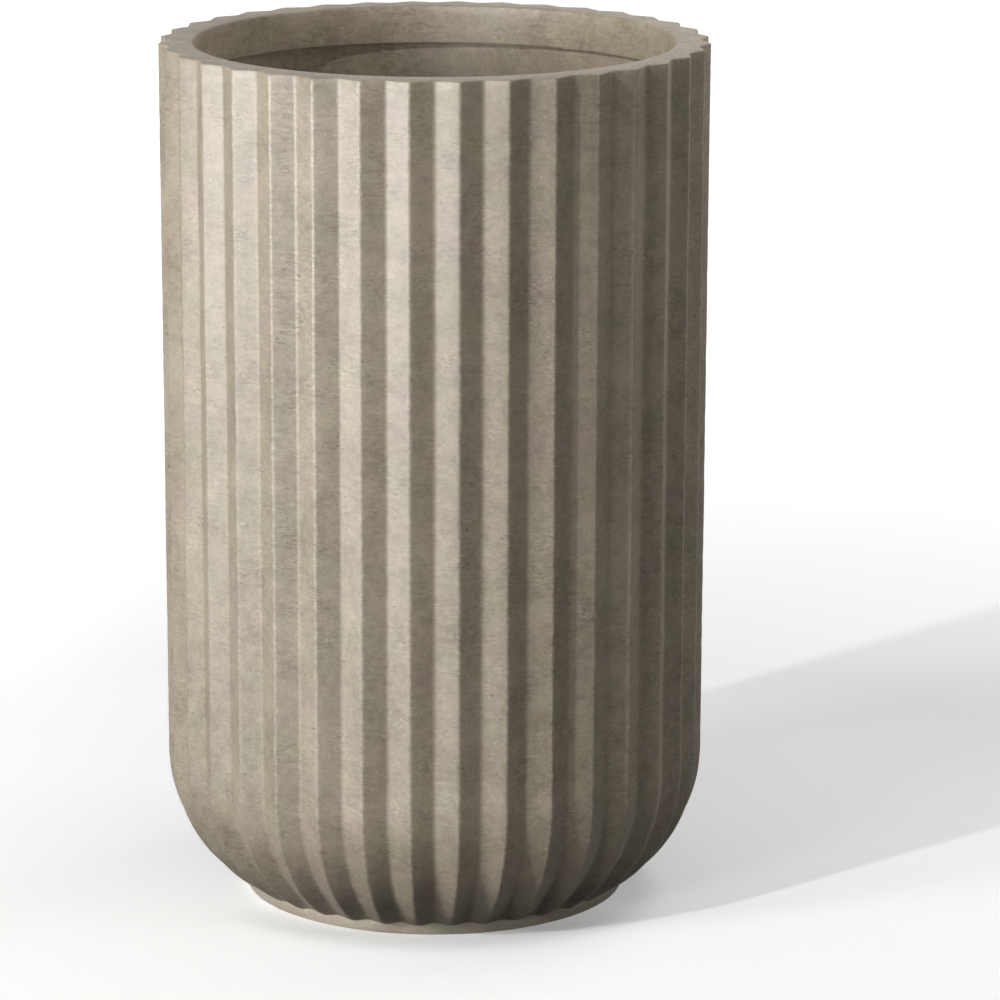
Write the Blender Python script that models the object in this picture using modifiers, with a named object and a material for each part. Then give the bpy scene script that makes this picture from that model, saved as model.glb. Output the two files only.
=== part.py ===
"""Tall fluted concrete planter with a rounded bottom on a low round foot.

Frame: metres, +Z up, origin at the centre of the foot's underside.
A flute's valley faces -Y, the side that is seen first.
"""

from math import acos, asin, atan2, cos, hypot, pi, radians, sin

import bmesh
import bpy
from mathutils import Vector

# Outline of the shell, measured on the ridges of the flutes
HEIGHT = 0.700
RIM_RADIUS = 0.2210
SHOULDER_RADIUS = 0.2193
BEND_RADIUS = 0.126
RIM_EASE = 0.0015

# Flutes
FLUTE_COUNT = 36
FLUTE_DEPTH = 0.0073
FLUTE_DEPTH_AT_FOOT = 0.0019
RIDGE_ROUNDING = 0.06
VALLEY_ROUNDING = 0.18
ROUNDING_AT_FOOT = 0.40

# Hollow inside
WALL = 0.0135
LIP_OVERHANG = 0.0070
LIP_DEPTH = 0.031
LIP_EASE = 0.0020
FLOOR_THICKNESS = 0.0175

# Foot
FOOT_RADIUS = 0.1550
FOOT_SHOWING = 0.0075
FOOT_LET_IN = 0.0065
FOOT_EDGE = 0.0012

# Drain
DRAIN_BORE = 0.026
SLEEVE_WALL = 0.0025
SLEEVE_FLANGE_REACH = 0.0065
SLEEVE_FLANGE_THICKNESS = 0.0030
SLEEVE_SET_BACK = 0.0010
PLUG_LENGTH = 0.018
PLUG_TAPER = 0.0015
PLUG_HEAD_RADIUS = 0.019
PLUG_HEAD_THICKNESS = 0.0040
PLUG_EASE = 0.0008

# Gap kept between pieces that touch
FIT = 0.0003

# How far cutters run past what they cut
OVERRUN = 0.020

# Facets
COLUMNS_PER_FLUTE = 6
BEND_STEPS = 9
INNER_BEND_STEPS = 6
ROUND_STEPS = 96
DRAIN_STEPS = 48

# Places that follow from the sizes above
BEND_CENTRE_RADIUS = SHOULDER_RADIUS - BEND_RADIUS
FOOT_ANGLE = acos((FOOT_RADIUS - BEND_CENTRE_RADIUS) / BEND_RADIUS)
BEND_HEIGHT = FOOT_SHOWING + BEND_RADIUS * sin(FOOT_ANGLE)
FOOT_TOP = FOOT_SHOWING + FOOT_LET_IN
FLOOR_TOP = FOOT_TOP + FIT + FLOOR_THICKNESS
SKIN = FLUTE_DEPTH + WALL
CAVITY_TOP_RADIUS = RIM_RADIUS - SKIN
CAVITY_LOW_RADIUS = SHOULDER_RADIUS - SKIN
MOUTH_RADIUS = CAVITY_TOP_RADIUS - LIP_OVERHANG
SLEEVE_RADIUS = DRAIN_BORE / 2 + SLEEVE_WALL
FLANGE_RADIUS = SLEEVE_RADIUS + SLEEVE_FLANGE_REACH


def clear_scene():
    for old in list(bpy.data.objects):
        bpy.data.objects.remove(old, do_unlink=True)


def new_collection(name):
    collection = bpy.data.collections.new(name)
    bpy.context.scene.collection.children.link(collection)
    return collection


def surface(name, colour, roughness):
    """A Principled material of one colour."""
    material = bpy.data.materials.new(name)
    material.use_nodes = True
    shader = material.node_tree.nodes["Principled BSDF"]
    shader.inputs["Base Color"].default_value = (*colour, 1.0)
    shader.inputs["Roughness"].default_value = roughness
    shader.inputs["Metallic"].default_value = 0.0
    return material


def arc(centre_radius, centre_height, radius, start, stop, steps):
    """Points of an arc in the (radius, height) plane, bending down and in."""
    points = []
    for step in range(steps + 1):
        angle = start + (stop - start) * step / steps
        points.append((centre_radius + radius * cos(angle), centre_height - radius * sin(angle)))
    return points


def turned(name, profile, steps, collection, lift=0.0):
    """Turn a profile, given from top to bottom, about the Z axis at a height."""
    mesh = bpy.data.meshes.new(name)
    edges = [(index, index + 1) for index in range(len(profile) - 1)]
    mesh.from_pydata([(radius, 0.0, height - lift) for radius, height in profile], edges, [])
    piece = bpy.data.objects.new(name, mesh)
    piece.location.z = lift
    collection.objects.link(piece)
    screw = piece.modifiers.new("turn", "SCREW")
    screw.steps = steps
    screw.render_steps = steps
    screw.use_merge_vertices = True
    screw.merge_threshold = 0.00005
    return piece


def cutter(name, profile, steps, collection):
    """A turned solid that only cuts other pieces."""
    tool = turned(name, profile, steps, collection)
    tool.hide_render = True
    tool.display_type = "WIRE"
    return tool


def cut(piece, tool):
    boolean = piece.modifiers.new(tool.name, "BOOLEAN")
    boolean.operation = "DIFFERENCE"
    boolean.solver = "EXACT"
    boolean.object = tool


def disc_profile(radius, top, bottom):
    return [(0.0, top), (radius, top), (radius, bottom), (0.0, bottom)]


def flute_share(across, ridge, valley):
    """Share of the flute's depth from its ridge (across 0) to its valley (across 1).

    The two sides are flat, with a rounding of the given share at each end.
    """
    slope = 1.0 / (1.0 - (ridge + valley) / 2.0)
    if across < ridge:
        return slope * across * across / (2.0 * ridge)
    if across > 1.0 - valley:
        rest = 1.0 - across
        return 1.0 - slope * rest * rest / (2.0 * valley)
    return slope * (across - ridge / 2.0)


def flute_column(column, ridge, valley):
    """Signed place across the half pitch (valley 0, ridge 1) and depth share of one column."""
    places = (0.0, valley, 1.0 - ridge, 1.0, 1.0 + ridge, 2.0 - valley)
    place = places[column]
    across = abs(1.0 - place)
    return place, flute_share(across, ridge, valley)


def mix(start, end, share):
    return start + (end - start) * share


def press_flute(vertex, pitch):
    """Move one vertex of the turned blank to its place on the fluted surface."""
    radius = hypot(vertex.co.x, vertex.co.y)
    if radius < FIT:
        return
    turn = atan2(vertex.co.y, vertex.co.x) % (2.0 * pi)
    column = round(turn / pitch * COLUMNS_PER_FLUTE)
    below = BEND_HEIGHT - vertex.co.z
    lean = atan2(below, radius - BEND_CENTRE_RADIUS) if below > 0.0 else 0.0
    fade = min(lean / FOOT_ANGLE, 1.0) ** 2
    ridge = mix(RIDGE_ROUNDING, ROUNDING_AT_FOOT, fade)
    valley = mix(VALLEY_ROUNDING, ROUNDING_AT_FOOT, fade)
    place, share = flute_column(column % COLUMNS_PER_FLUTE, ridge, valley)
    depth = share * mix(FLUTE_DEPTH, FLUTE_DEPTH_AT_FOOT, fade)
    angle = (column // COLUMNS_PER_FLUTE + place / 2.0) * pitch
    reach = radius - depth * cos(lean)
    height = vertex.co.z + depth * sin(lean)
    vertex.co = Vector((reach * cos(angle), reach * sin(angle), height))


def shell_profile():
    """Outline of the shell on the ridges, from the centre of its top to under the foot."""
    inside_foot = FOOT_RADIUS - FOOT_LET_IN
    stop = acos((inside_foot - BEND_CENTRE_RADIUS) / BEND_RADIUS)
    bend = arc(BEND_CENTRE_RADIUS, BEND_HEIGHT, BEND_RADIUS, 0.0, stop, BEND_STEPS)
    top = [(0.0, HEIGHT), (RIM_RADIUS - RIM_EASE, HEIGHT), (RIM_RADIUS, HEIGHT - RIM_EASE)]
    return top + bend + [(0.0, bend[-1][1])]


def fluted_blank(name, collection):
    """The solid outer form: a turned blank with the flutes pressed into it."""
    blank = bmesh.new()
    points = [blank.verts.new((radius, 0.0, height)) for radius, height in shell_profile()]
    lines = [blank.edges.new(pair) for pair in zip(points, points[1:])]
    bmesh.ops.spin(
        blank,
        geom=points + lines,
        cent=(0.0, 0.0, 0.0),
        axis=(0.0, 0.0, 1.0),
        angle=2.0 * pi,
        steps=FLUTE_COUNT * COLUMNS_PER_FLUTE,
        use_merge=True,
    )
    bmesh.ops.remove_doubles(blank, verts=blank.verts, dist=0.00002)
    for vertex in blank.verts:
        press_flute(vertex, 2.0 * pi / FLUTE_COUNT)
    bmesh.ops.recalc_face_normals(blank, faces=blank.faces)
    mesh = bpy.data.meshes.new(name)
    blank.to_mesh(mesh)
    blank.free()
    body = bpy.data.objects.new(name, mesh)
    collection.objects.link(body)
    return body


def cavity_profile():
    """Outline of the hollow: mouth, lip, undercut, wall, bend and floor."""
    inner_bend = BEND_RADIUS - SKIN
    stop = asin((BEND_HEIGHT - FLOOR_TOP) / inner_bend)
    bend = arc(BEND_CENTRE_RADIUS, BEND_HEIGHT, inner_bend, 0.0, stop, INNER_BEND_STEPS)
    mouth = [
        (0.0, HEIGHT + OVERRUN),
        (MOUTH_RADIUS + LIP_EASE + OVERRUN, HEIGHT + OVERRUN),
        (MOUTH_RADIUS, HEIGHT - LIP_EASE),
        (MOUTH_RADIUS, HEIGHT - LIP_DEPTH),
        (CAVITY_TOP_RADIUS, HEIGHT - LIP_DEPTH),
    ]
    return mouth + bend + [(0.0, FLOOR_TOP)]


def build_body(collection, cutters):
    """The cast shell, hollowed out, with its foot's seat and its drain hole cut in."""
    body = fluted_blank("fluted_body", collection)
    cut(body, cutter("hollow", cavity_profile(), ROUND_STEPS, cutters))
    seat = disc_profile(FOOT_RADIUS + FIT, FOOT_TOP + FIT, -OVERRUN)
    cut(body, cutter("foot_seat", seat, ROUND_STEPS, cutters))
    top = FLOOR_TOP + OVERRUN
    counterbore = FLOOR_TOP - SLEEVE_FLANGE_THICKNESS - FIT
    hole = [
        (0.0, top),
        (FLANGE_RADIUS + FIT, top),
        (FLANGE_RADIUS + FIT, counterbore),
        (SLEEVE_RADIUS + FIT, counterbore),
        (SLEEVE_RADIUS + FIT, -OVERRUN),
        (0.0, -OVERRUN),
    ]
    cut(body, cutter("drain_hole", hole, DRAIN_STEPS, cutters))
    return body


def build_foot(collection):
    """The low round foot: a disc with a hole for the drain sleeve."""
    bore = SLEEVE_RADIUS + FIT
    profile = [
        (bore, FOOT_TOP),
        (FOOT_RADIUS, FOOT_TOP),
        (FOOT_RADIUS, FOOT_EDGE),
        (FOOT_RADIUS - FOOT_EDGE, 0.0),
        (bore, 0.0),
        (bore, FOOT_TOP),
    ]
    return turned("foot_plinth", profile, ROUND_STEPS, collection)


def build_sleeve(collection):
    """The flanged tube that lines the drain passage."""
    bore = DRAIN_BORE / 2
    flange_bottom = FLOOR_TOP - SLEEVE_FLANGE_THICKNESS
    profile = [
        (bore, FLOOR_TOP),
        (FLANGE_RADIUS, FLOOR_TOP),
        (FLANGE_RADIUS, flange_bottom),
        (SLEEVE_RADIUS, flange_bottom),
        (SLEEVE_RADIUS, SLEEVE_SET_BACK),
        (bore, SLEEVE_SET_BACK),
        (bore, FLOOR_TOP),
    ]
    return turned("drain_sleeve", profile, DRAIN_STEPS, collection)


def build_plug(collection):
    """The tapered stopper with a wide head. Its origin is on the drain's axis."""
    seat = FLOOR_TOP + FIT
    head_top = seat + PLUG_HEAD_THICKNESS
    stem = DRAIN_BORE / 2 - FIT
    profile = [
        (0.0, head_top),
        (PLUG_HEAD_RADIUS - PLUG_EASE, head_top),
        (PLUG_HEAD_RADIUS, head_top - PLUG_EASE),
        (PLUG_HEAD_RADIUS, seat),
        (stem, seat),
        (stem - PLUG_TAPER, seat - PLUG_LENGTH + PLUG_EASE),
        (stem - PLUG_TAPER - PLUG_EASE, seat - PLUG_LENGTH),
        (0.0, seat - PLUG_LENGTH),
    ]
    return turned("drain_plug", profile, DRAIN_STEPS, collection, lift=seat)


def finish(piece, material, sharp_angle):
    """Give a piece its material and smooth shading with sharp arrises."""
    piece.data.materials.append(material)
    piece.data.shade_smooth()
    piece.data.set_sharp_from_angle(angle=radians(sharp_angle))


def build():
    clear_scene()
    parts = new_collection("fluted_concrete_planter")
    cutters = new_collection("cutters")
    concrete = surface("cast_concrete", (0.42, 0.38, 0.32), 0.85)
    foot_concrete = surface("foot_concrete", (0.45, 0.41, 0.35), 0.85)
    plastic = surface("sleeve_plastic", (0.05, 0.05, 0.05), 0.5)
    rubber = surface("plug_rubber", (0.02, 0.02, 0.02), 0.7)
    finish(build_body(parts, cutters), concrete, 25.0)
    finish(build_foot(parts), foot_concrete, 25.0)
    finish(build_sleeve(parts), plastic, 25.0)
    finish(build_plug(parts), rubber, 25.0)


build()
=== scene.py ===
"""Tall fluted concrete planter with a rounded bottom, standing on its low round foot."""

from math import acos, asin, atan2, cos, hypot, pi, radians, sin

import bmesh
import bpy
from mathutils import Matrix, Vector
from mathutils.noise import noise


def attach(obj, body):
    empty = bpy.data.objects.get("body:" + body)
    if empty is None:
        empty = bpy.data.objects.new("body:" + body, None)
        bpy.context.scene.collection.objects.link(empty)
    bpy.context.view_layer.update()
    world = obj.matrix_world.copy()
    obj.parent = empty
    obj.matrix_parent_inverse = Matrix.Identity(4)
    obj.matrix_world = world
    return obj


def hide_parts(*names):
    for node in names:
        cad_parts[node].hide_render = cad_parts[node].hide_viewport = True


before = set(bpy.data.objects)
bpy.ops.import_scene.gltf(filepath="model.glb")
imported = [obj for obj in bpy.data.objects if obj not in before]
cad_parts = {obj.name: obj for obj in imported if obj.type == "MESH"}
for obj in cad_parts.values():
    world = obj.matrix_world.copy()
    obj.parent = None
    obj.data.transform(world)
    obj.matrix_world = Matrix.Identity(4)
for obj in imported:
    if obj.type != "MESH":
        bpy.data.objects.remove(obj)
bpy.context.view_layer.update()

# Camera
# A long lens stands about four metres off and looks down a little, so the mouth shows as a
# narrow oval. The planter stands left of the middle, which leaves room for its shadow.
CAMERA_DISTANCE = 4.050
CAMERA_HEIGHT = 1.2996
CAMERA_DOWN = 13.58
CAMERA_LENS = 183.7
CAMERA_SHIFT = 0.0654
SENSOR_WIDTH = 36.0
VIEW_DEPTH = 100.0

camera_data = bpy.data.cameras.new("camera")
camera_data.sensor_width = SENSOR_WIDTH
camera_data.lens = CAMERA_LENS
camera_data.shift_x = CAMERA_SHIFT
camera_data.clip_end = VIEW_DEPTH
camera = bpy.data.objects.new("camera", camera_data)
camera.location = (0.0, -CAMERA_DISTANCE, CAMERA_HEIGHT)
camera.rotation_euler = (radians(90.0 - CAMERA_DOWN), 0.0, 0.0)
bpy.context.scene.collection.objects.link(camera)
bpy.context.scene.camera = camera

# Cast shell
# The planter's body is one piece of fine-grained concrete, cast upside down in a fluted mould.
# Thirty-six flutes with flat sides run down the wall and die away where the bottom rounds in to
# the foot. The hollow is smooth, with a thicker lip round the mouth.
HEIGHT = 0.700
RIM_RADIUS = 0.2210
SHOULDER_RADIUS = 0.2193
BEND_RADIUS = 0.126
RIM_EASE = 0.0012
FLUTE_COUNT = 36
FLUTE_DEPTH = 0.0073
FLUTE_DEPTH_AT_FOOT = 0.0019
FADE_POWER = 7  # the flutes hold their depth far round the bend and fade close to the foot
FACET_SAG = 0.00021  # keeps the sides of a flute flat, not turned with the wall
RIDGE_ROUNDING = 0.09
VALLEY_ROUNDING = 0.12
ROUNDING_AT_FOOT = 0.30
SKIN = 0.0208
LIP_OVERHANG = 0.0070
LIP_DEPTH = 0.031
LIP_EASE = 0.0020
RIM_RING_INSET = 0.004  # a ring on the rim's flat, this far inside the valleys
FLOOR_TOP = 0.0318
FOOT_RADIUS = 0.1550
FOOT_SHOWING = 0.0075
FOOT_TOP = 0.014
FIT = 0.0003
SLEEVE_RADIUS = 0.0155
FLANGE_RADIUS = 0.0220
FLANGE_THICKNESS = 0.0030

BEND_CENTRE_RADIUS = SHOULDER_RADIUS - BEND_RADIUS
SEAT_RADIUS = FOOT_RADIUS + FIT
FOOT_ANGLE = acos((FOOT_RADIUS - BEND_CENTRE_RADIUS) / BEND_RADIUS)
BEND_HEIGHT = FOOT_SHOWING + BEND_RADIUS * sin(FOOT_ANGLE)
CAVITY_TOP_RADIUS = RIM_RADIUS - SKIN
CAVITY_LOW_RADIUS = SHOULDER_RADIUS - SKIN
MOUTH_RADIUS = CAVITY_TOP_RADIUS - LIP_OVERHANG

WALL_ROWS = 96
BEND_ROWS = 30
EASE_ROWS = 3
INNER_WALL_ROWS = 16
INNER_BEND_ROWS = 12
LIP_ROWS = 4
COLUMNS_PER_FLUTE = 14
SHARP_ANGLE = 30.0
MERGE_DISTANCE = 0.00001

# The mould gave the wall slight waves, and the arrises wore a little when it was struck
WAVE_DEPTH = 0.00035
WAVE_LENGTH = 0.09
WEAR_DEPTH = 0.00045
WEAR_LENGTH = 0.011
WEAR_REACH = 0.10  # share of the flute's depth, from the ridge down, that wears


def mix(start, end, share):
    return start + (end - start) * share


def clamp(value):
    return max(0.0, min(1.0, value))


def arc(centre_radius, centre_height, radius, start, stop, steps):
    """Points of an arc in the (radius, height) plane, bending down and in."""
    points = []
    for step in range(steps + 1):
        angle = mix(start, stop, step / steps)
        points.append((centre_radius + radius * cos(angle), centre_height - radius * sin(angle)))
    return points


def spun(points, steps, closed=True, skin_points=0):
    """A bmesh of a profile in the (radius, height) plane, turned about the Z axis.

    The first skin_points of the profile are marked in the skin layer.
    """
    blank = bmesh.new()
    skin = blank.verts.layers.float.new("skin")
    verts = [blank.verts.new((radius, 0.0, height)) for radius, height in points]
    for vert in verts[:skin_points]:
        vert[skin] = 1.0
    pairs = list(zip(verts, verts[1:]))
    if closed:
        pairs.append((verts[-1], verts[0]))
    lines = [blank.edges.new(pair) for pair in pairs]
    bmesh.ops.spin(
        blank,
        geom=verts + lines,
        cent=(0.0, 0.0, 0.0),
        axis=(0.0, 0.0, 1.0),
        angle=2.0 * pi,
        steps=steps,
        use_merge=True,
    )
    bmesh.ops.remove_doubles(blank, verts=blank.verts, dist=MERGE_DISTANCE)
    bmesh.ops.recalc_face_normals(blank, faces=blank.faces)
    return blank


def piece_from(blank, name):
    """An object from a bmesh, smooth but for its arrises."""
    mesh = bpy.data.meshes.new(name)
    blank.to_mesh(mesh)
    blank.free()
    mesh.shade_smooth()
    mesh.set_sharp_from_angle(angle=radians(SHARP_ANGLE))
    piece = bpy.data.objects.new(name, mesh)
    bpy.context.scene.collection.objects.link(piece)
    return piece


def flute_share(across, ridge, valley):
    """Share of the flute's depth from its ridge (across 0) to its valley (across 1)."""
    slope = 1.0 / (1.0 - (ridge + valley) / 2.0)
    if across < ridge:
        return slope * across * across / (2.0 * ridge)
    if across > 1.0 - valley:
        rest = 1.0 - across
        return 1.0 - slope * rest * rest / (2.0 * valley)
    return slope * (across - ridge / 2.0)


def flute_column(column, ridge, valley):
    """Place across the half pitch (valley 0, ridge 1, next valley 2) of one column."""
    half = (
        0.0,
        valley / 3.0,
        valley * 2.0 / 3.0,
        valley,
        (valley + 1.0 - ridge) / 2.0,
        1.0 - ridge,
        1.0 - ridge / 2.0,
        1.0,
    )
    return half[column] if column < len(half) else 2.0 - half[COLUMNS_PER_FLUTE - column]


def pressed(vertex, pitch):
    """Where a vertex of the outer skin goes on the fluted surface, and how near a ridge it is."""
    radius = hypot(vertex.co.x, vertex.co.y)
    turn = atan2(vertex.co.y, vertex.co.x) % (2.0 * pi)
    column = round(turn / pitch * COLUMNS_PER_FLUTE)
    below = BEND_HEIGHT - vertex.co.z
    lean = atan2(below, radius - BEND_CENTRE_RADIUS) if below > 0.0 else 0.0
    fade = clamp(lean / FOOT_ANGLE) ** FADE_POWER
    ridge = mix(RIDGE_ROUNDING, ROUNDING_AT_FOOT, fade)
    valley = mix(VALLEY_ROUNDING, ROUNDING_AT_FOOT, fade)
    place = flute_column(column % COLUMNS_PER_FLUTE, ridge, valley)
    share = flute_share(abs(1.0 - place), ridge, valley)
    depth = share * mix(FLUTE_DEPTH, FLUTE_DEPTH_AT_FOOT, fade)
    depth += FACET_SAG * 4.0 * share * (1.0 - share) * (1.0 - fade)
    angle = (column // COLUMNS_PER_FLUTE + place / 2.0) * pitch
    way = Vector((cos(angle), sin(angle), 0.0))
    spot = way * radius + Vector((0.0, 0.0, vertex.co.z))
    near_ridge = clamp(1.0 - share / WEAR_REACH)
    depth += WAVE_DEPTH * (0.5 + 0.5 * noise(spot / WAVE_LENGTH)) * (1.0 - fade)
    chips = max(0.0, noise(spot / WEAR_LENGTH))
    depth += WEAR_DEPTH * near_ridge * chips * (1.0 - fade)
    if lean > 0.0:
        end = acos((SEAT_RADIUS - BEND_CENTRE_RADIUS) / (BEND_RADIUS - depth))
        start = acos((SEAT_RADIUS - BEND_CENTRE_RADIUS) / BEND_RADIUS)
        lean = lean * end / start
        radius = BEND_CENTRE_RADIUS + (BEND_RADIUS - depth) * cos(lean)
        height = BEND_HEIGHT - (BEND_RADIUS - depth) * sin(lean)
    else:
        radius -= depth
        height = vertex.co.z
    return way * radius + Vector((0.0, 0.0, height)), 1.0 - share


def skin_outline():
    """Outer outline on the ridges, from the flat of the rim down to the foot's seat."""
    edge = [
        (
            RIM_RADIUS - RIM_EASE * (1.0 - sin(pi / 2.0 * step / EASE_ROWS)),
            HEIGHT - RIM_EASE * (1.0 - cos(pi / 2.0 * step / EASE_ROWS)),
        )
        for step in range(EASE_ROWS + 1)
    ]
    foot_stop = acos((SEAT_RADIUS - BEND_CENTRE_RADIUS) / BEND_RADIUS)
    bend = arc(BEND_CENTRE_RADIUS, BEND_HEIGHT, BEND_RADIUS, 0.0, foot_stop, BEND_ROWS)
    edge_radius, edge_height = edge[-1]
    wall = [
        (
            mix(edge_radius, SHOULDER_RADIUS, row / WALL_ROWS),
            mix(edge_height, BEND_HEIGHT, row / WALL_ROWS),
        )
        for row in range(1, WALL_ROWS)
    ]
    return edge + wall + bend


def inner_outline():
    """Under the foot's seat, up the drain hole, over the floor, up the hollow to the rim."""
    counterbore = FLOOR_TOP - FLANGE_THICKNESS - FIT
    seat = [
        (SEAT_RADIUS, FOOT_TOP + FIT),
        (SLEEVE_RADIUS + FIT, FOOT_TOP + FIT),
        (SLEEVE_RADIUS + FIT, counterbore),
        (FLANGE_RADIUS + FIT, counterbore),
        (FLANGE_RADIUS + FIT, FLOOR_TOP - FIT),
        (FLANGE_RADIUS + 2.0 * FIT, FLOOR_TOP),
    ]
    inner_bend = BEND_RADIUS - SKIN
    stop = asin((BEND_HEIGHT - FLOOR_TOP) / inner_bend)
    bend = arc(BEND_CENTRE_RADIUS, BEND_HEIGHT, inner_bend, 0.0, stop, INNER_BEND_ROWS)
    under_lip = HEIGHT - LIP_DEPTH
    wall = [
        (
            mix(CAVITY_LOW_RADIUS, CAVITY_TOP_RADIUS, row / INNER_WALL_ROWS),
            mix(BEND_HEIGHT, under_lip, row / INNER_WALL_ROWS),
        )
        for row in range(1, INNER_WALL_ROWS + 1)
    ]
    lip_end = HEIGHT - LIP_EASE
    lip = [
        (MOUTH_RADIUS, mix(under_lip, lip_end, row / LIP_ROWS)) for row in range(LIP_ROWS + 1)
    ]
    ease = [
        (
            MOUTH_RADIUS + LIP_EASE * (1.0 - cos(pi / 2.0 * step / EASE_ROWS)),
            lip_end + LIP_EASE * sin(pi / 2.0 * step / EASE_ROWS),
        )
        for step in range(1, EASE_ROWS + 1)
    ]
    flat = [(RIM_RADIUS - RIM_EASE - FLUTE_DEPTH - RIM_RING_INSET, HEIGHT)]
    return seat + bend[::-1] + wall + lip + ease + flat


outer = skin_outline()
shell_blank = spun(outer + inner_outline(), FLUTE_COUNT * COLUMNS_PER_FLUTE, skin_points=len(outer))
skin = shell_blank.verts.layers.float["skin"]
arris = shell_blank.verts.layers.float.new("arris")
for vertex in shell_blank.verts:
    if vertex[skin] > 0.5:
        vertex.co, vertex[arris] = pressed(vertex, 2.0 * pi / FLUTE_COUNT)
shell = piece_from(shell_blank, "cast_shell")


def linear(hex_colour):
    """An sRGB hex colour as a linear RGBA value."""
    channels = [int(hex_colour[place:place + 2], 16) / 255.0 for place in (1, 3, 5)]
    return (*[c / 12.92 if c <= 0.04045 else ((c + 0.055) / 1.055) ** 2.4 for c in channels], 1.0)


def add(tree, kind, sockets=None, **settings):
    """A new node with its settings, and its inputs set to a value or linked to an output."""
    node = tree.nodes.new(kind)
    for name, value in settings.items():
        setattr(node, name, value)
    for name, value in (sockets or {}).items():
        if isinstance(value, bpy.types.NodeSocket):
            tree.links.new(value, node.inputs[name])
        else:
            node.inputs[name].default_value = value
    return node


# Cast concrete, wiped with a damp sponge after it was struck from the mould, then sealed. The eye
# sees a cloudy warm grey with fine level streaks from the wiping, a few pinholes, pale grains and
# arrises lighter, partly rubbed and partly a painted highlight, all under the satin of the sealer.
CONCRETE_IOR = 1.33
MIX_FACTOR = 0
MIX_A = 6
MIX_B = 7
MIX_RESULT = 2


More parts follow.
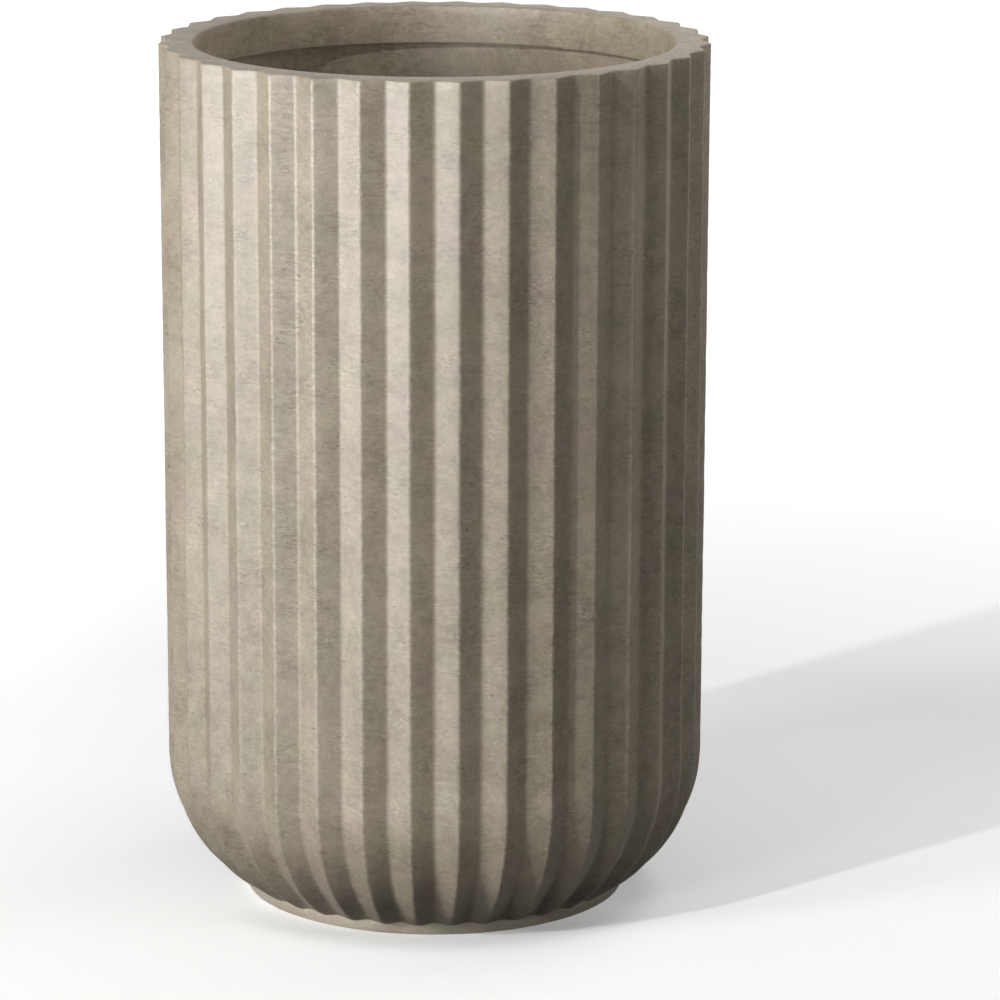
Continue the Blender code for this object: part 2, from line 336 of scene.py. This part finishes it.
def cast_concrete(name, light, dark, pale, pit, streak_strength, pinhole_share):
    """Cast concrete of one light and one dark tone, with pale grains, dark pits and arrises rubbed
    pale, partly a painted highlight.
    """
    material = bpy.data.materials.new(name)
    material.use_nodes = True
    tree = material.node_tree
    shader = tree.nodes["Principled BSDF"]
    place = add(tree, "ShaderNodeTexCoord").outputs["Object"]

    # Clouds from 70 mm down to 1 mm across
    cloud = add(
        tree,
        "ShaderNodeTexNoise",
        {"Vector": place, "Scale": 1.0 / 0.070, "Detail": 6.0, "Roughness": 0.90},
    )
    cloud_share = add(
        tree,
        "ShaderNodeMapRange",
        {"Value": cloud.outputs["Fac"], "From Min": 0.28, "From Max": 0.72},
    )

    # Wiping streaks, 2.4 mm and less in height and about 11 mm long, strongest in patches
    level = add(
        tree,
        "ShaderNodeMapping",
        {"Vector": place, "Scale": (1.0 / 0.011, 1.0 / 0.011, 1.0 / 0.0024)},
    )
    streak = add(
        tree,
        "ShaderNodeTexNoise",
        {"Vector": level.outputs["Vector"], "Scale": 1.0, "Detail": 3.0, "Roughness": 0.75},
    )
    streak_mark = add(
        tree,
        "ShaderNodeMapRange",
        {
            "Value": streak.outputs["Fac"],
            "From Min": 0.30,
            "From Max": 0.70,
            "To Min": -streak_strength,
            "To Max": streak_strength,
        },
    )
    patch = add(
        tree,
        "ShaderNodeTexNoise",
        {"Vector": place, "Scale": 1.0 / 0.040, "Detail": 2.0, "Roughness": 0.5},
    )
    patch_share = add(
        tree,
        "ShaderNodeMapRange",
        {
            "Value": patch.outputs["Fac"],
            "From Min": 0.42,
            "From Max": 0.66,
            "To Min": 0.4,
            "To Max": 1.4,
        },
    )
    streaked = add(
        tree,
        "ShaderNodeMath",
        {
            0: streak_mark.outputs["Result"],
            1: patch_share.outputs["Result"],
            2: cloud_share.outputs["Result"],
        },
        operation="MULTIPLY_ADD",
    )

    # Clusters of fine level scratches, 4 mm long, where the mould dragged
    drag = add(
        tree,
        "ShaderNodeMapping",
        {
            "Vector": place,
            "Location": (0.3, 0.1, 0.7),
            "Scale": (1.0 / 0.004, 1.0 / 0.004, 1.0 / 0.0014),
        },
    )
    scratch = add(
        tree,
        "ShaderNodeTexNoise",
        {"Vector": drag.outputs["Vector"], "Scale": 1.0, "Detail": 1.0, "Roughness": 0.6},
    )
    scratch_mark = add(
        tree,
        "ShaderNodeMapRange",
        {
            "Value": scratch.outputs["Fac"],
            "From Min": 0.34,
            "From Max": 0.66,
            "To Min": -0.30,
            "To Max": 0.30,
        },
    )
    cluster = add(
        tree,
        "ShaderNodeTexNoise",
        {"Vector": place, "W": 2.0, "Scale": 1.0 / 0.016, "Detail": 1.0, "Roughness": 0.5},
        noise_dimensions="4D",
    )
    cluster_share = add(
        tree,
        "ShaderNodeMapRange",
        {"Value": cluster.outputs["Fac"], "From Min": 0.54, "From Max": 0.70, "To Min": 0.10},
    )
    scratched = add(
        tree,
        "ShaderNodeMath",
        {
            0: scratch_mark.outputs["Result"],
            1: cluster_share.outputs["Result"],
            2: streaked.outputs[0],
        },
        operation="MULTIPLY_ADD",
    )

    # Fine grain of 1.6 mm, as coarse as it must be to show
    grain = add(
        tree,
        "ShaderNodeTexNoise",
        {"Vector": place, "Scale": 1.0 / 0.0016, "Detail": 1.0, "Roughness": 0.6},
    )
    grain_mark = add(
        tree,
        "ShaderNodeMapRange",
        {
            "Value": grain.outputs["Fac"],
            "From Min": 0.3,
            "From Max": 0.7,
            "To Min": -0.07,
            "To Max": 0.07,
        },
    )
    tone = add(
        tree,
        "ShaderNodeMath",
        {0: scratched.outputs[0], 1: grain_mark.outputs["Result"]},
        operation="ADD",
    )
    ground = add(
        tree,
        "ShaderNodeMix",
        {MIX_FACTOR: tone.outputs[0], MIX_A: linear(dark), MIX_B: linear(light)},
        data_type="RGBA",
    )

    # The cement drifts between faintly pink and faintly green over 35 mm
    drift = add(
        tree,
        "ShaderNodeTexNoise",
        {"Vector": place, "W": 4.0, "Scale": 1.0 / 0.035, "Detail": 3.0, "Roughness": 0.6},
        noise_dimensions="4D",
    )
    hue = add(
        tree,
        "ShaderNodeMix",
        {MIX_FACTOR: drift.outputs["Fac"], MIX_A: linear("#F3FCE8"), MIX_B: linear("#FEEEF6")},
        data_type="RGBA",
    )
    tinted = add(
        tree,
        "ShaderNodeMix",
        {MIX_FACTOR: 1.0, MIX_A: ground.outputs[MIX_RESULT], MIX_B: hue.outputs[MIX_RESULT]},
        data_type="RGBA",
        blend_type="MULTIPLY",
    )

    # Sand grains in 5 mm cells: some are laid bare and pale, others fell out and left a dark pit
    cells = add(tree, "ShaderNodeTexVoronoi", {"Vector": place, "Scale": 1.0 / 0.005})
    lottery = add(tree, "ShaderNodeSeparateColor", {"Color": cells.outputs["Color"]})
    bare_size = add(
        tree,
        "ShaderNodeMapRange",
        {"Value": lottery.outputs["Green"], "From Min": 0.86, "From Max": 1.0, "To Max": 0.20},
    )
    bare = add(
        tree,
        "ShaderNodeMath",
        {0: cells.outputs["Distance"], 1: bare_size.outputs["Result"]},
        operation="LESS_THAN",
    )
    bare_share = add(tree, "ShaderNodeMath", {0: bare.outputs[0], 1: 0.45}, operation="MULTIPLY")
    sanded = add(
        tree,
        "ShaderNodeMix",
        {MIX_FACTOR: bare_share.outputs[0], MIX_A: tinted.outputs[MIX_RESULT], MIX_B: linear(pale)},
        data_type="RGBA",
    )
    pit_size = add(
        tree,
        "ShaderNodeMapRange",
        {"Value": lottery.outputs["Red"], "From Min": 0.92, "From Max": 1.0, "To Max": 0.20},
    )
    clustered = add(
        tree,
        "ShaderNodeMath",
        {0: pit_size.outputs["Result"], 1: patch_share.outputs["Result"]},
        operation="MULTIPLY",
    )
    pits = add(
        tree,
        "ShaderNodeMath",
        {0: cells.outputs["Distance"], 1: clustered.outputs[0]},
        operation="LESS_THAN",
    )

    # Pinholes left by air bubbles, one in a few of the 17 mm cells, up to 2 mm wide
    bubbles = add(tree, "ShaderNodeTexVoronoi", {"Vector": place, "Scale": 1.0 / 0.017})
    bubble_lottery = add(tree, "ShaderNodeSeparateColor", {"Color": bubbles.outputs["Color"]})
    bubble_size = add(
        tree,
        "ShaderNodeMapRange",
        {
            "Value": bubble_lottery.outputs["Blue"],
            "From Min": 1.0 - pinhole_share,
            "From Max": 1.0,
            "To Max": 0.062,
        },
    )
    pinhole = add(
        tree,
        "ShaderNodeMath",
        {0: bubbles.outputs["Distance"], 1: bubble_size.outputs["Result"]},
        operation="LESS_THAN",
    )
    holes = add(
        tree,
        "ShaderNodeMath",
        {0: pits.outputs[0], 1: 0.45, 2: pinhole.outputs[0]},
        operation="MULTIPLY_ADD",
        use_clamp=True,
    )

    # Arrises are rubbed pale, most where the scuffing is heavy; the paleness is partly wear and
    # partly a painted highlight along the ridges
    arris_mark = add(tree, "ShaderNodeAttribute", attribute_name="arris")
    arris_highlight_share = add(
        tree,
        "ShaderNodeMapRange",
        {"Value": arris_mark.outputs["Fac"], "From Min": 0.88, "From Max": 1.0, "To Max": 0.60},
    )
    scuff = add(
        tree,
        "ShaderNodeTexNoise",
        {"Vector": place, "Scale": 1.0 / 0.005, "Detail": 3.0, "Roughness": 0.8},
    )
    scuff_share = add(
        tree,
        "ShaderNodeMapRange",
        {"Value": scuff.outputs["Fac"], "From Min": 0.48, "From Max": 0.70},
    )
    scuffed_and_highlit = add(
        tree,
        "ShaderNodeMath",
        {0: arris_highlight_share.outputs["Result"], 1: scuff_share.outputs["Result"]},
        operation="MULTIPLY",
    )
    worn_and_highlit = add(
        tree,
        "ShaderNodeMix",
        {MIX_FACTOR: scuffed_and_highlit.outputs[0], MIX_A: sanded.outputs[MIX_RESULT], MIX_B: linear(pale)},
        data_type="RGBA",
    )
    pricked = add(
        tree,
        "ShaderNodeMix",
        {MIX_FACTOR: holes.outputs[0], MIX_A: worn_and_highlit.outputs[MIX_RESULT], MIX_B: linear(pit)},
        data_type="RGBA",
    )
    tree.links.new(pricked.outputs[MIX_RESULT], shader.inputs["Base Color"])

    # Satin of the sealed face, a little uneven with the clouds
    rough = add(
        tree,
        "ShaderNodeMapRange",
        {
            "Value": cloud.outputs["Fac"],
            "From Min": 0.3,
            "From Max": 0.7,
            "To Min": 0.42,
            "To Max": 0.48,
        },
    )
    tree.links.new(rough.outputs["Result"], shader.inputs["Roughness"])
    shader.inputs["IOR"].default_value = CONCRETE_IOR

    # Relief: streaks and grain a sixth of a millimetre deep at most, holes half a millimetre
    relief = add(
        tree,
        "ShaderNodeMath",
        {0: scratched.outputs[0], 1: 0.5, 2: grain.outputs["Fac"]},
        operation="MULTIPLY_ADD",
    )
    pitted = add(
        tree,
        "ShaderNodeMath",
        {0: holes.outputs[0], 1: -3.0, 2: relief.outputs[0]},
        operation="MULTIPLY_ADD",
    )
    bump = add(
        tree,
        "ShaderNodeBump",
        {"Height": pitted.outputs[0], "Distance": 0.00016, "Strength": 1.0},
    )
    tree.links.new(bump.outputs["Normal"], shader.inputs["Normal"])
    return material


shell.data.materials.append(
    cast_concrete("concrete_cast_wiped", "#CDC2B1", "#948B7B", "#DDD5C7", "#4A443A", 0.21, 0.10)
)
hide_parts("fluted_body")
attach(shell, "planter")

# Foot
# A low disc of the same concrete, cast flat and bedded into the underside of the shell, so the
# rounded bottom seems to float just clear of the ground. Its tones are painted lighter than the
# shell's, as painted light on the foot.
FOOT_EDGE = 0.0010
EASE_MIDDLE = 0.3  # where the middle point of a rounded edge lies, as a share of its radius
FOOT_RING_HEIGHT = 0.6  # extra rings on the side and the underside, as shares of the disc's size
FOOT_RING_RADIUS = 0.7
FOOT_STEPS = 240
foot_bore = SLEEVE_RADIUS + FIT
foot_blank = spun(
    [
        (foot_bore, FOOT_TOP),
        (FOOT_RADIUS, FOOT_TOP),
        (FOOT_RADIUS, FOOT_TOP * FOOT_RING_HEIGHT),
        (FOOT_RADIUS, FOOT_EDGE),
        (FOOT_RADIUS - FOOT_EDGE * EASE_MIDDLE, FOOT_EDGE * EASE_MIDDLE),
        (FOOT_RADIUS - FOOT_EDGE, 0.0),
        (FOOT_RADIUS * FOOT_RING_RADIUS, 0.0),
        (foot_bore, 0.0),
    ],
    FOOT_STEPS,
)
foot = piece_from(foot_blank, "foot_disc")
# The foot's tones are lighter than the shell's: painted light on the foot under the overhang
foot.data.materials.append(
    cast_concrete("concrete_floated_painted_lighter", "#D7CEBF", "#AEA697", "#E0D8CA", "#4A443A", 0.12, 0.05)
)
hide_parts("foot_plinth")
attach(foot, "planter")

# Drain sleeve
# An extruded plastic tube with a flange, set into the floor to line the drain hole. Its skin is
# smooth, with the faint grain of the die and a little dust.
DRAIN_BORE = 0.026
SLEEVE_SET_BACK = 0.0010
SLEEVE_EASE = 0.0005
SLEEVE_STEPS = 96
bore = DRAIN_BORE / 2.0
sleeve_blank = spun(
    [
        (bore, FLOOR_TOP - SLEEVE_EASE),
        (bore + SLEEVE_EASE, FLOOR_TOP),
        (FLANGE_RADIUS - SLEEVE_EASE, FLOOR_TOP),
        (FLANGE_RADIUS, FLOOR_TOP - SLEEVE_EASE),
        (FLANGE_RADIUS, FLOOR_TOP - FLANGE_THICKNESS),
        (SLEEVE_RADIUS, FLOOR_TOP - FLANGE_THICKNESS),
        (SLEEVE_RADIUS, SLEEVE_SET_BACK + SLEEVE_EASE),
        (SLEEVE_RADIUS - SLEEVE_EASE, SLEEVE_SET_BACK),
        (bore + SLEEVE_EASE, SLEEVE_SET_BACK),
        (bore, SLEEVE_SET_BACK + SLEEVE_EASE),
    ],
    SLEEVE_STEPS,
)
sleeve = piece_from(sleeve_blank, "drain_tube")


def moulded(name, light, dark, roughness, grain, depth):
    """A moulded or extruded skin: a fine even grain in relief, dust in its tone and gloss."""
    material = bpy.data.materials.new(name)
    material.use_nodes = True
    tree = material.node_tree
    shader = tree.nodes["Principled BSDF"]
    place = add(tree, "ShaderNodeTexCoord").outputs["Object"]
    speckle = add(
        tree,
        "ShaderNodeTexNoise",
        {"Vector": place, "Scale": 1.0 / grain, "Detail": 2.0, "Roughness": 0.6},
    )
    dust = add(
        tree,
        "ShaderNodeTexNoise",
        {"Vector": place, "Scale": 1.0 / 0.012, "Detail": 3.0, "Roughness": 0.6},
    )
    dust_share = add(
        tree,
        "ShaderNodeMapRange",
        {"Value": dust.outputs["Fac"], "From Min": 0.4, "From Max": 0.7},
    )
    tone = add(
        tree,
        "ShaderNodeMix",
        {MIX_FACTOR: dust_share.outputs["Result"], MIX_A: linear(dark), MIX_B: linear(light)},
        data_type="RGBA",
    )
    tree.links.new(tone.outputs[MIX_RESULT], shader.inputs["Base Color"])
    gloss = add(
        tree,
        "ShaderNodeMapRange",
        {"Value": dust.outputs["Fac"], "To Min": roughness - 0.1, "To Max": roughness + 0.1},
    )
    tree.links.new(gloss.outputs["Result"], shader.inputs["Roughness"])
    bump = add(
        tree,
        "ShaderNodeBump",
        {"Height": speckle.outputs["Fac"], "Distance": depth, "Strength": 1.0},
    )
    tree.links.new(bump.outputs["Normal"], shader.inputs["Normal"])
    return material


sleeve.data.materials.append(moulded("pvc_extruded", "#6A6964", "#4B4B49", 0.45, 0.0008, 0.00004))
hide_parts("drain_sleeve")
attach(sleeve, "planter")

# Drain plug
# A push-in stopper of moulded black rubber with a wide flat head. It rests on the sleeve's
# flange and pulls straight up and out.
PLUG_LENGTH = 0.018
PLUG_TAPER = 0.0015
PLUG_HEAD_RADIUS = 0.019
PLUG_HEAD_THICKNESS = 0.0040
PLUG_EASE = 0.0008
PLUG_DISH_DEPTH = 0.0009
PLUG_DISH_FLOOR = 0.72  # shares of the head's radius where the dish's floor and its slope end
PLUG_DISH_EDGE = 0.78
PLUG_STEPS = 96
plug_seat = FLOOR_TOP + FIT
plug_top = plug_seat + PLUG_HEAD_THICKNESS
stem = bore - FIT
plug_blank = spun(
    [
        (0.0, plug_top - PLUG_DISH_DEPTH),
        (PLUG_HEAD_RADIUS * PLUG_DISH_FLOOR, plug_top - PLUG_DISH_DEPTH),
        (PLUG_HEAD_RADIUS * PLUG_DISH_EDGE, plug_top),
        (PLUG_HEAD_RADIUS - PLUG_EASE, plug_top),
        (PLUG_HEAD_RADIUS - PLUG_EASE * EASE_MIDDLE, plug_top - PLUG_EASE * EASE_MIDDLE),
        (PLUG_HEAD_RADIUS, plug_top - PLUG_EASE),
        (PLUG_HEAD_RADIUS, plug_seat),
        (stem, plug_seat),
        (stem - PLUG_TAPER, plug_seat - PLUG_LENGTH + PLUG_EASE),
        (stem - PLUG_TAPER - PLUG_EASE, plug_seat - PLUG_LENGTH),
        (0.0, plug_seat - PLUG_LENGTH),
    ],
    PLUG_STEPS,
    closed=False,
)
plug = piece_from(plug_blank, "rubber_plug")
plug.data.materials.append(moulded("rubber_moulded", "#3A3936", "#242322", 0.62, 0.0009, 0.00006))
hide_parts("drain_plug")
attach(plug, "drain_plug")

# Floor
# A seamless sheet of white paper. The camera sees it nearly white, with the planter's shadow on it
# and pure white at the back; its white is a glow, lifted at the left behind as painted light. The
# planter's gloss sees less than half of it, its matt side hardly any. Near the foot the glow is
# dimmed as painted shade, most in the narrow gap in front of it.
FLOOR_HALF = 15.0
FLOOR_GLOW = 0.432
GLOW_RISE_FROM = 0.70
GLOW_RISE_TO = 2.0
LEFT_GLOW = 0.13
LEFT_FROM = -0.15  # this and the next three are places on the floor, in metres from the axis
LEFT_TO = -0.40
BEHIND_FROM = -0.10
BEHIND_TO = 0.60
PAPER_TONE = 0.90
PAPER_TO_MATT = 0.03
FLOOR_IN_GLOSS = 0.45
# Painted shade on the floor near the planter, and deeper in the gap in front of the foot
CONTACT_REACH = 0.30
CONTACT_DARKEST = 0.66
EDGE_REACH = 0.045
EDGE_DARKEST = 0.35
EDGE_SHUT = 0.35  # occlusion values between which the painted shade in the gap in front of the foot deepens
EDGE_OPEN = 0.85
FRONT_FROM = -0.15
FRONT_TO = -0.08
OCCLUSION_SAMPLES = 16
floor_blank = bmesh.new()
bmesh.ops.create_grid(floor_blank, x_segments=1, y_segments=1, size=FLOOR_HALF)
floor = piece_from(floor_blank, "paper_floor")
paper = bpy.data.materials.new("paper_matt_coated")
paper.use_nodes = True
tree = paper.node_tree
tree.nodes.clear()


def white_rays(tree, in_gloss):
    """The share of white that a ray sees: all from the camera, some in gloss, none from matt."""
    path = add(tree, "ShaderNodeLightPath")
    seen = add(
        tree,
        "ShaderNodeMath",
        {0: path.outputs["Is Glossy Ray"], 1: in_gloss, 2: path.outputs["Is Camera Ray"]},
        operation="MULTIPLY_ADD",
    )
    return add(
        tree,
        "ShaderNodeMath",
        {0: seen.outputs[0], 1: path.outputs["Is Transmission Ray"]},
        operation="MAXIMUM",
    ).outputs[0]


place = add(tree, "ShaderNodeTexCoord").outputs["Object"]
away = add(tree, "ShaderNodeVectorMath", {0: place}, operation="LENGTH")
rise = add(
    tree,
    "ShaderNodeMapRange",
    {
        "Value": away.outputs["Value"],
        "From Min": GLOW_RISE_FROM,
        "From Max": GLOW_RISE_TO,
        "To Min": FLOOR_GLOW,
        "To Max": 1.0,
    },
)
sides = add(tree, "ShaderNodeSeparateXYZ", {"Vector": place})
# Painted light: the floor's glow is stronger on the left towards the back
left = add(
    tree,
    "ShaderNodeMapRange",
    {
        "Value": sides.outputs["X"],
        "From Min": LEFT_FROM,
        "From Max": LEFT_TO,
        "To Max": LEFT_GLOW,
    },
)
behind = add(
    tree,
    "ShaderNodeMapRange",
    {"Value": sides.outputs["Y"], "From Min": BEHIND_FROM, "From Max": BEHIND_TO},
)
open_glow = add(
    tree,
    "ShaderNodeMath",
    {0: left.outputs["Result"], 1: behind.outputs["Result"], 2: rise.outputs["Result"]},
    operation="MULTIPLY_ADD",
)
# Painted shade: ambient occlusion dims the glow near the planter, and more in the gap in front of
# the foot
contact = add(
    tree,
    "ShaderNodeAmbientOcclusion",
    {"Distance": CONTACT_REACH},
    samples=OCCLUSION_SAMPLES,
)
contact_shade_share = add(
    tree,
    "ShaderNodeMapRange",
    {"Value": contact.outputs["AO"], "To Min": CONTACT_DARKEST, "To Max": 1.0},
)
edge = add(
    tree,
    "ShaderNodeAmbientOcclusion",
    {"Distance": EDGE_REACH},
    samples=OCCLUSION_SAMPLES,
)
edge_darkest = add(
    tree,
    "ShaderNodeMapRange",
    {
        "Value": sides.outputs["Y"],
        "From Min": FRONT_FROM,
        "From Max": FRONT_TO,
        "To Min": EDGE_DARKEST,
        "To Max": 1.0,
    },
)
edge_shade_share = add(
    tree,
    "ShaderNodeMapRange",
    {
        "Value": edge.outputs["AO"],
        "From Min": EDGE_SHUT,
        "From Max": EDGE_OPEN,
        "To Min": edge_darkest.outputs["Result"],
        "To Max": 1.0,
    },
)
shaded = add(
    tree,
    "ShaderNodeMath",
    {0: contact_shade_share.outputs["Result"], 1: edge_shade_share.outputs["Result"]},
    operation="MULTIPLY",
)
glow_level = add(
    tree,
    "ShaderNodeMath",
    {0: open_glow.outputs[0], 1: shaded.outputs[0]},
    operation="MULTIPLY",
)
glow = add(
    tree,
    "ShaderNodeEmission",
    {"Color": (1.0, 1.0, 1.0, 1.0), "Strength": glow_level.outputs[0]},
)
sheet = add(
    tree,
    "ShaderNodeBsdfDiffuse",
    {"Color": (PAPER_TONE, PAPER_TONE, PAPER_TONE, 1.0)},
)
bright = add(tree, "ShaderNodeAddShader", {0: glow.outputs[0], 1: sheet.outputs[0]})
dull = add(
    tree,
    "ShaderNodeBsdfDiffuse",
    {"Color": (PAPER_TO_MATT, PAPER_TO_MATT, PAPER_TO_MATT, 1.0)},
)
either = add(
    tree,
    "ShaderNodeMixShader",
    {0: white_rays(tree, FLOOR_IN_GLOSS), 1: dull.outputs[0], 2: bright.outputs[0]},
)
add(tree, "ShaderNodeOutputMaterial", {"Surface": either.outputs[0]})
floor.data.materials.append(paper)

# Studio light
# The key light comes from the front left: soft boxes above rim height, and a small high lamp that
# draws the shadow. Weak boxes at the right open the dark side and the hollow. The boxes only show
# on the matt side of a surface, and three cards only in its gloss, for the wall's even sheen.
LAMP_AIM = 0.40
ROOM_TO_MATT = 0.04


def lamp(name, azimuth, distance, height, size, power, matt=True, gloss=True):
    """A square lamp facing the planter. Azimuth 0 is the camera's side and 90 is its right."""
    data = bpy.data.lights.new(name, "AREA")
    data.shape = "SQUARE"
    data.size = size
    data.energy = power
    turn = radians(azimuth)
    light = bpy.data.objects.new(name, data)
    light.location = Vector((sin(turn) * distance, -cos(turn) * distance, height))
    away = light.location - Vector((0.0, 0.0, LAMP_AIM))
    light.rotation_euler = away.to_track_quat("Z", "Y").to_euler()
    light.visible_diffuse = matt
    light.visible_glossy = gloss
    bpy.context.scene.collection.objects.link(light)


lamp("shadow_lamp", -46.5, 7.63, 5.12, 0.21, 260.0)
lamp("key_box", -58.0, 2.4, 0.95, 0.5, 24.5, gloss=False)
lamp("front_box", -30.0, 2.4, 0.90, 0.5, 10.1, gloss=False)
lamp("right_box", 60.0, 2.4, 1.10, 0.6, 6.6, gloss=False)
lamp("near_right_box", 110.0, 0.7, 1.10, 0.4, 1.6, gloss=False)
lamp("back_box", 140.0, 1.0, 1.30, 0.4, 2.1, gloss=False)
lamp("sheen_card_left", -70.0, 2.4, 0.25, 0.5, 51.0, matt=False)
lamp("sheen_card_side", -46.0, 3.8, 0.65, 0.6, 336.0, matt=False)
lamp("sheen_card_front", -14.0, 2.4, 1.10, 0.5, 66.6, matt=False)

world = bpy.data.worlds.new("white_room")
world.use_nodes = True
bpy.context.scene.world = world
tree = world.node_tree
tree.nodes.clear()
white = add(tree, "ShaderNodeBackground", {"Color": (1.0, 1.0, 1.0, 1.0), "Strength": 1.0})
soft = add(tree, "ShaderNodeBackground", {"Color": (1.0, 1.0, 1.0, 1.0), "Strength": ROOM_TO_MATT})
either = add(
    tree,
    "ShaderNodeMixShader",
    {0: white_rays(tree, 1.0), 1: soft.outputs[0], 2: white.outputs[0]},
)
add(tree, "ShaderNodeOutputWorld", {"Surface": either.outputs[0]})
bpy.context.scene.view_settings.view_transform = "Standard"
